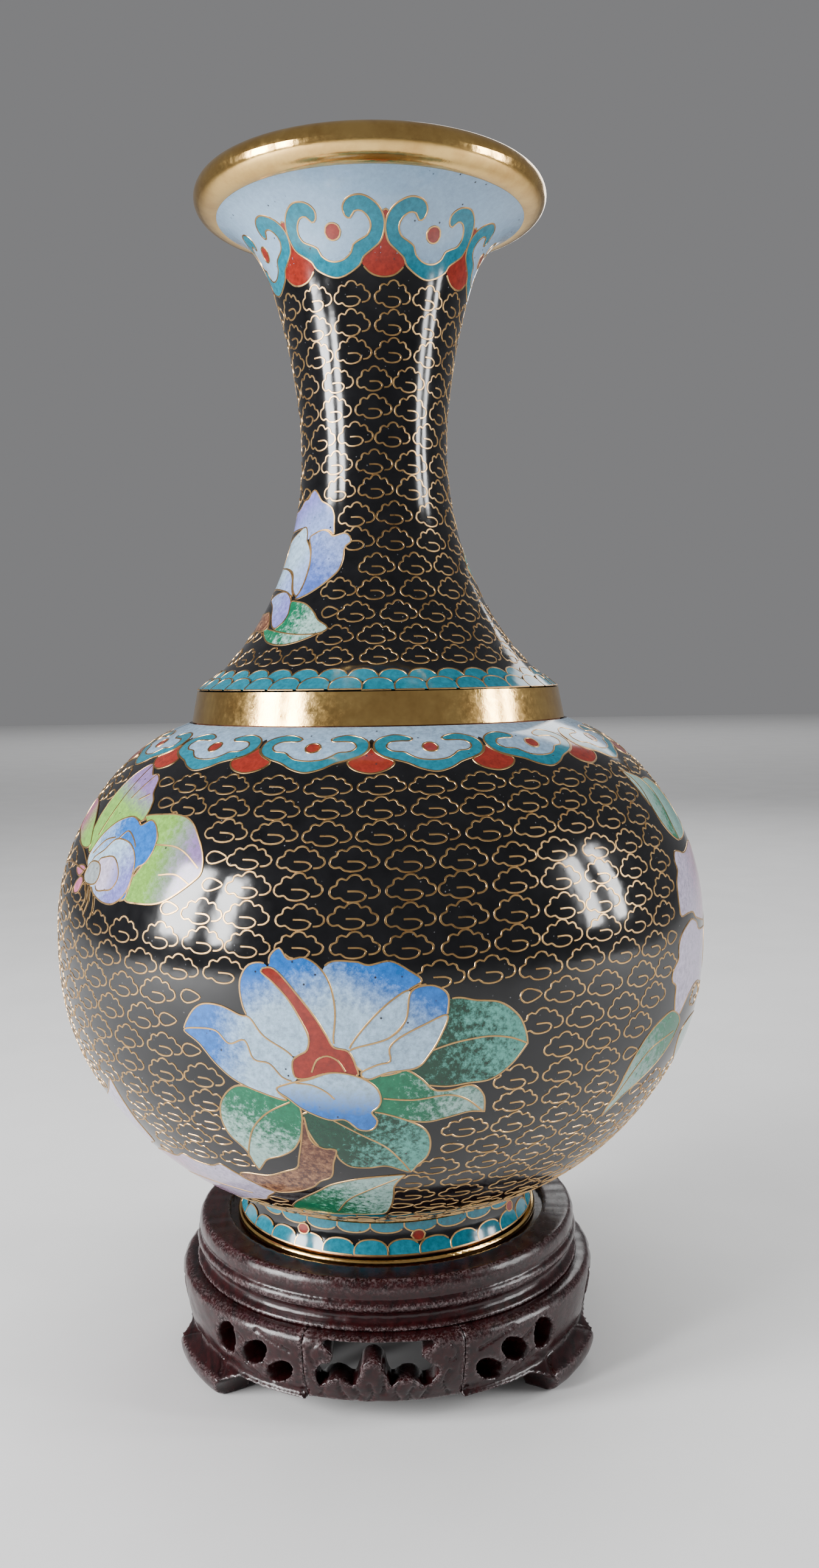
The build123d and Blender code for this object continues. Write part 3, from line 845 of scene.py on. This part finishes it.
def draw_neck_spray(d):
    """The small magnolia on the left of the neck."""
    d.cell([
        (-31, 36), (-25, 36.5), (-22, 37.8), (-20, 38), (-19, 38.8), (-17.5, 39.3), (-16, 38.5),
        (-14.5, 37.3), (-12.5, 36.6), (-11, 35.8), (-10.2, 34.5), (-10, 33), (-9.8, 31.3), (-11, 32),
        (-13, 32.2), (-16, 31.3), (-17.7, 30.8), (-18.2, 32), (-19, 33), (-21, 33), (-31, 33),
    ], PERIWINKLE, LAVENDER, (-15, 33), (-17, 38))
    d.cell([
        (-16.8, 31), (-15, 31.8), (-13, 32.2), (-11.3, 31.8), (-10, 31), (-8.5, 31.2), (-7, 31.4),
        (-5.8, 30.8), (-5.6, 29.8), (-6.6, 29.2), (-6.9, 28.5), (-6.9, 27), (-7.5, 25), (-9, 23.5),
        (-11, 22), (-13.5, 20.6), (-16, 19.9), (-15.3, 21.5), (-14.9, 24), (-14.9, 26.5), (-15.6, 29),
    ], BLUE_VIOLET, PERIWINKLE, (-13, 22), (-9, 29))
    d.cell([
        (-31, 30), (-26, 31.5), (-22, 32.5), (-20.5, 33), (-19, 33), (-18, 31.8), (-17.7, 30.7),
        (-16.2, 29.3), (-15.2, 27.5), (-15, 25), (-15.2, 22.5), (-16, 20.5), (-17.5, 21.5), (-18.5, 23),
        (-20, 25), (-24, 26), (-31, 26.5),
    ], WHITE_BLUE, PERIWINKLE, (-20, 28), (-16, 24))
    d.cell([
        (-31, 26), (-25, 26), (-21.5, 25.3), (-19.5, 24), (-18.3, 22), (-17.2, 20.5), (-19, 21.2),
        (-21, 21.7), (-26, 22.3), (-31, 22.5),
    ], PERIWINKLE, WHITE_BLUE, (-19, 22), (-26, 25))
    d.cell([
        (-26, 20.5), (-23, 21.3), (-20, 21.4), (-18, 20.5), (-16.7, 19), (-16.3, 17), (-16.8, 15.3),
        (-18, 14.3), (-19.3, 14.8), (-21, 16.5), (-23, 18.7), (-26, 20),
    ], LAVENDER, PERIWINKLE, (-18, 17), (-24, 20))
    d.cell([
        (-16.8, 19.4), (-15, 19.3), (-13, 18.8), (-11, 17.4), (-9.5, 15.6), (-8, 14.6), (-7.5, 14),
        (-8.2, 13.2), (-10, 12.8), (-13, 12.9), (-16, 13.4), (-18, 14), (-16.8, 15.3), (-16.3, 17),
    ], GREEN, PALE_GREEN, (-16, 17), (-10, 15))
    d.cell([
        (-21.5, 14.3), (-18.5, 13.9), (-15, 13.2), (-12, 12.8), (-9, 12.8), (-9, 12.8), (-11.5, 11.5),
        (-14, 10.8), (-16.5, 11), (-19, 12),
    ], GREEN, PALE_GREEN, (-19, 12.5), (-11, 12))
    d.cell([
        (-31, 17), (-26, 17.5), (-23, 17.5), (-20.5, 15), (-21.5, 14), (-25, 14), (-31, 13.5),
    ], BROWN, TAN, (-25, 26), (-25, 2))


# --- the vase ---
PINK = {SKY: ROSE, WHITE_BLUE: PINK_WHITE}
PALE_LILAC = {SKY: LAVENDER, WHITE_BLUE: PINK_WHITE}


def up_of(wall, node_name, side):
    """Up at the lowest (0) or highest (1) edge of a CAD node."""
    return float(np.interp(edge_height(node_name, side), wall.height, wall.up))


def make_neck():
    scales = up_of(neck, "scale_band_enamel", 1)
    border = up_of(neck, "rim_border_enamel", 0)
    pale = "pale_blue_enamel"
    coat("scale_band", neck, 0, scales, "scale_band_enamel")
    coat("neck_ground", neck, scales, border, "neck_enamel")
    coat("rim_border", neck, border, neck.top, "rim_border_enamel", material=pale)
    d = Drawing(neck)
    draw_lappets(
        d, NECK_BAND, mirrored(NECK_TONGUE), NECK_LAPPETS, NECK_TURN,
        outer_points=8, dot=79.2, dot_size=1.3, top=border + 1,
    )
    draw_scallops(d, low=2.1, height=3.1, count=SCALES, colour=TURQUOISE, offset=1)
    draw_scallops(d, low=0, height=3.0, count=SCALES, colour=TURQUOISE)
    draw_neck_spray(d)
    d.at(across=-40.5, up=1, size=0.56)
    draw_magnolia(d)
    d.at(across=36, up=0, size=0.52, flip=-1, tints=PINK)
    draw_magnolia(d)
    d.at()
    draw_clouds(d, low=8.2, high=69.6, pitch=4.25, width=6.6, fewest=11)
    d.build_cells("neck_cells")
    d.build_wires("neck_wires")


def make_belly():
    low, border = belly.up[0], up_of(belly, "shoulder_border_enamel", 0)
    coat("belly_ground", belly, low, border, "belly_enamel")
    coat("shoulder_border", belly, border, belly.top, "shoulder_border_enamel")
    d = Drawing(belly)
    draw_lappets(
        d, SHOULDER_BAND, SHOULDER_TONGUE, SHOULDER_LAPPETS, SHOULDER_TURN,
        outer_points=7, dot=96.9, dot_size=1.2, top=belly.top,
    )
    draw_right_spray(d)
    draw_left_spray(d)
    draw_magnolia(d)
    draw_butterfly(d)
    d.at(across=94, up=4, flip=-1, tints=PINK)
    draw_magnolia(d)
    d.at(across=-101, up=-1, tints=PALE_LILAC)
    draw_magnolia(d)
    d.at(across=172, up=3, flip=-1)
    draw_magnolia(d)
    d.at(across=78, up=2, flip=-1)
    draw_butterfly(d)
    d.at(across=-94, up=8, size=0.9)
    draw_butterfly(d)
    d.at()
    draw_clouds(d, low=4.5, high=88.9, pitch=4.02, width=7.6)
    d.build_cells("belly_cells")
    d.build_wires("belly_wires")


def make_foot():
    coat("foot_ground", foot, 0, foot.top, "foot_enamel")
    d = Drawing(foot)
    draw_scallops(d, low=foot.top, height=1.7, count=FOOT_PETALS - 2, colour=TURQUOISE, hanging=True)
    draw_scallops(d, low=0, height=2.5, count=FOOT_PETALS, colour=TURQUOISE, offset=1)
    spot = [(1.15 * math.cos(a), 0.85 * math.sin(a)) for a in np.linspace(0, 5.5, 8)]
    for i in range(FOOT_DOTS):
        d.at((i + 0.26) / FOOT_DOTS * d.girth, foot.top * 0.56)
        d.cell(spot, BRICK)
    d.at()
    d.build_cells("foot_cells")
    d.build_wires("foot_wires")


# --- the stand ---
def neighbours_mean(points, edges):
    total = np.zeros_like(points)
    count = np.zeros(len(points))
    for a, b in ((0, 1), (1, 0)):
        np.add.at(total, edges[:, a], points[edges[:, b]])
        np.add.at(count, edges[:, a], 1)
    return total / np.maximum(count, 1)[:, None]


def distance_to(points, line):
    """Each point's distance from the nearest point of a line."""
    best = np.full(len(points), 1e9)
    for place in line:
        best = np.minimum(best, ((points - place) ** 2).sum(1))
    return np.sqrt(best)


STAND_TURN = -1.5  # degrees that the stand is turned about its axis
PANELS_APART = 120
PANEL_HALF_ANGLE = 20.5  # degrees from a panel's middle to its seams
STAND_RADIUS = 36.0
CARVED_FROM = 33.5  # radius outside which the face is carved
VOXEL = 0.32
GROOVE_DEPTH = 0.42
GROOVE_WIDTH = 0.30
# Knife lines on the stand, as (across from a panel's middle, height); each is mirrored
GROOVES = [
    [(12.9, 12.6), (12.2, 10.0), (12.6, 7.6), (13.6, 5.8)],
    [(10.6, 14.6), (11.8, 13.0), (11.0, 11.6), (9.8, 12.2)],
    [(10.4, 9.8), (9.6, 7.8), (10.4, 5.6)],
    [(7.2, 8.4), (7.0, 6.8), (6.2, 5.2)],
    [(4.6, 7.2), (4.0, 6.0), (4.6, 4.9)],
    [(0.0, 11.4), (0.3, 9.2), (-0.2, 6.6)],
    [(2.3, 8.2), (1.8, 6.6), (2.4, 5.2)],
    [(17.0, 6.6), (21.0, 9.4), (25.4, 12.8), (28.6, 14.2)],
    [(22.4, 6.4), (25.6, 8.2), (29.4, 9.2)],
    [(15.2, 12.6), (18.2, 13.6), (21.4, 14.6)],
    [(29.0, 3.4), (31.0, 5.0), (33.6, 5.8), (37.0, 6.0)],
]


CARVED = [
    "stand_top_ring", "leg_front_left", "leg_front_right", "leg_back",
    "apron_front", "apron_back_left", "apron_back_right",
]


def remeshed(name):
    """A copy of a CAD node's mesh in small even faces."""
    source = bpy.data.objects.new("source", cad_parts[name].data.copy())
    bpy.context.scene.collection.objects.link(source)
    remesh = source.modifiers.new("remesh", "REMESH")
    remesh.mode = "VOXEL"
    remesh.voxel_size = VOXEL * MM
    mesh = bpy.data.meshes.new_from_object(source.evaluated_get(bpy.context.evaluated_depsgraph_get()))
    bpy.data.objects.remove(source)
    return mesh


def read_rows(items, key, width, kind=float):
    """A property of all a mesh's vertices or edges, as rows."""
    values = np.zeros(len(items) * width, kind)
    items.foreach_get(key, values)
    return values.reshape(-1, width)


def groove_cut(across, height):
    """How deep the knife lines go at each point."""
    depth = np.zeros(len(across))
    for groove in GROOVES:
        for side in (-1, 1):
            gap = distance_to(np.stack([side * across, height], 1), smooth_line(groove))
            depth += GROOVE_DEPTH * np.exp(-((gap / GROOVE_WIDTH) ** 2))
    return depth


def wear_on(points, normals, edges):
    """From 0 to 1, how far each point stands out of what is round it, so how worn it is."""
    wide = points
    for _ in range(10):
        wide = neighbours_mean(wide, edges)
    proud = ((points - wide) * normals).sum(1)
    return np.clip((proud - 0.04) / 0.14, 0, 1)


def carved(name):
    """A carved copy of a CAD node: softened edges, knife marks, and wear on what stands out."""
    mesh = remeshed(name)
    points = read_rows(mesh.vertices, "co", 3) / MM
    edges = read_rows(mesh.edges, "vertices", 2, int)
    angle = np.degrees(np.arctan2(points[:, 1], points[:, 0])) + 90 - STAND_TURN
    radius = np.hypot(points[:, 0], points[:, 1])
    half = PANELS_APART / 2
    from_panel = (angle + half) % PANELS_APART - half
    to_seam = radius * np.sin(np.radians(np.abs(np.abs(from_panel) - PANEL_HALF_ANGLE)))
    ring = "ring" in name
    free = np.ones(len(points)) if ring else np.clip(to_seam - 0.2, 0, 1)
    for _ in range(3):
        points = points + 0.5 * free[:, None] * (neighbours_mean(points, edges) - points)
    normals = read_rows(mesh.vertices, "normal", 3)
    wear = wear_on(points, normals, edges)
    across = STAND_RADIUS * np.radians(from_panel)
    height = points[:, 2]
    ripple = np.sin(across * 1.3 + height * 0.7) * np.sin(height * 1.1 + across * 0.21)
    shift = 0.025 * ripple - 0.05 * wear
    if not ring:
        shift -= groove_cut(across, height) * np.clip((radius - CARVED_FROM) / 0.8, 0, 1)
    points = points + normals * (shift * free)[:, None]
    lowest = max(0.0, edge_height(name, 0))
    points[:, 2] = np.maximum(points[:, 2], lowest)
    mesh.vertices.foreach_set("co", (points * MM).ravel())
    mesh.attributes.new("wear", "FLOAT", "POINT").data.foreach_set("value", wear)
    mesh.materials.clear()
    mesh.materials.append(MATERIALS["wood"])
    mesh.shade_smooth()
    mesh.name = name + "_carved"
    piece = bpy.data.objects.new(name + "_carved", mesh)
    bpy.context.scene.collection.objects.link(piece)
    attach(piece, "stand")
    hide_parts(name)


def finish_cad_nodes():
    """Gives every CAD node that stays in view its material."""
    finishes = {
        "brass": ("rim_ring", "collar_ring", "foot_joint_ring", "foot_ring"),
        "copper": ("neck_shell", "belly_upper_shell", "belly_lower_shell", "foot_shell", "base_plate"),
        "lining_enamel": ("neck_lining", "belly_lining", "base_lining", "base_enamel"),
        "wood": ("stand_seat",),
    }
    for material, names in finishes.items():
        for name in names:
            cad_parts[name].data.materials.clear()
            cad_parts[name].data.materials.append(MATERIALS[material])


# --- light, floor and camera ---
MIDDLE = (0, 0, 0.10)
# Window panes, as (degrees to the viewer's right, width, power for each metre of width)
WINDOWS = ((-69, 0.13, 42), (-52, 0.07, 42), (72, 0.06, 26), (84, 0.05, 26))
WINDOW_DISTANCE = 0.56
WINDOW_MIDDLE = 0.235
WINDOW_HEIGHT = 0.28
FLOOR_SIZE = 3.0


def area_light(name, place, aim, width, height, power, mirrored=True):
    """A rectangular lamp; one that isn't mirrored leaves no reflection in the glaze."""
    light = bpy.data.lights.new(name, "AREA")
    light.shape = "RECTANGLE"
    light.size = width
    light.size_y = height
    light.energy = power
    lamp = bpy.data.objects.new(name, light)
    lamp.visible_glossy = mirrored
    lamp.location = place
    lamp.rotation_euler = (Vector(aim) - Vector(place)).to_track_quat("-Z", "Y").to_euler()
    bpy.context.scene.collection.objects.link(lamp)


def make_floor():
    material, tree, shader = new_material("pale_floor")
    soft = remap(tree, noise(tree, 30, 4), 0.3, 0.7, 0.70, 0.74)
    feed(shader, "Base Color", soft)
    shader.inputs["Roughness"].default_value = 0.8
    mesh = bpy.data.meshes.new("floor")
    corners = [(x * FLOOR_SIZE, y * FLOOR_SIZE, 0) for x, y in ((-1, -1), (1, -1), (1, 1), (-1, 1))]
    mesh.from_pydata(corners, [], [(0, 1, 2, 3)])
    mesh.materials.append(material)
    floor = bpy.data.objects.new("floor", mesh)
    bpy.context.scene.collection.objects.link(floor)


def make_lights():
    world = bpy.data.worlds.new("studio")
    world.use_nodes = True
    backdrop = world.node_tree.nodes["Background"]
    backdrop.inputs["Color"].default_value = (0.80, 0.80, 0.82, 1)
    backdrop.inputs["Strength"].default_value = 0.27
    bpy.context.scene.world = world
    for i, (turn, width, power) in enumerate(WINDOWS):
        angle = math.radians(turn)
        x, y = WINDOW_DISTANCE * math.sin(angle), -WINDOW_DISTANCE * math.cos(angle)
        area_light(f"window_{i}", (x, y, WINDOW_MIDDLE), MIDDLE, width, WINDOW_HEIGHT, power * width)
    area_light("top_soft", (0.0, 0.05, 0.75), MIDDLE, 0.5, 0.5, 3.0, mirrored=False)
    area_light("far_floor_soft", (0.0, 1.9, 1.0), (0.0, 1.8, 0.0), 2.4, 1.0, 9.0, mirrored=False)
    area_light("back_soft", (0.25, 0.70, 0.50), MIDDLE, 0.4, 0.3, 1.5)


def make_camera():
    """The viewing angle: just above the collar's height, tipped down a little."""
    pitch, yaw, roll = (math.radians(a) for a in (4.93, -1.30, 0.836))
    data = bpy.data.cameras.new("camera")
    data.lens = 30.05
    data.sensor_fit = "AUTO"
    data.sensor_width = 36.0
    camera = bpy.data.objects.new("camera", data)
    camera.location = (0, -0.232, 0.1195)
    turned = Matrix.Rotation(yaw, 4, "Z")
    tipped = Matrix.Rotation(math.pi / 2 - pitch, 4, "X")
    rolled = Matrix.Rotation(-roll, 4, "Z")
    camera.matrix_world = Matrix.Translation(camera.location) @ turned @ tipped @ rolled
    bpy.context.scene.collection.objects.link(camera)
    bpy.context.scene.camera = camera


make_neck()
make_belly()
make_foot()
for part in CARVED:
    carved(part)
finish_cad_nodes()
make_floor()
make_lights()
make_camera()
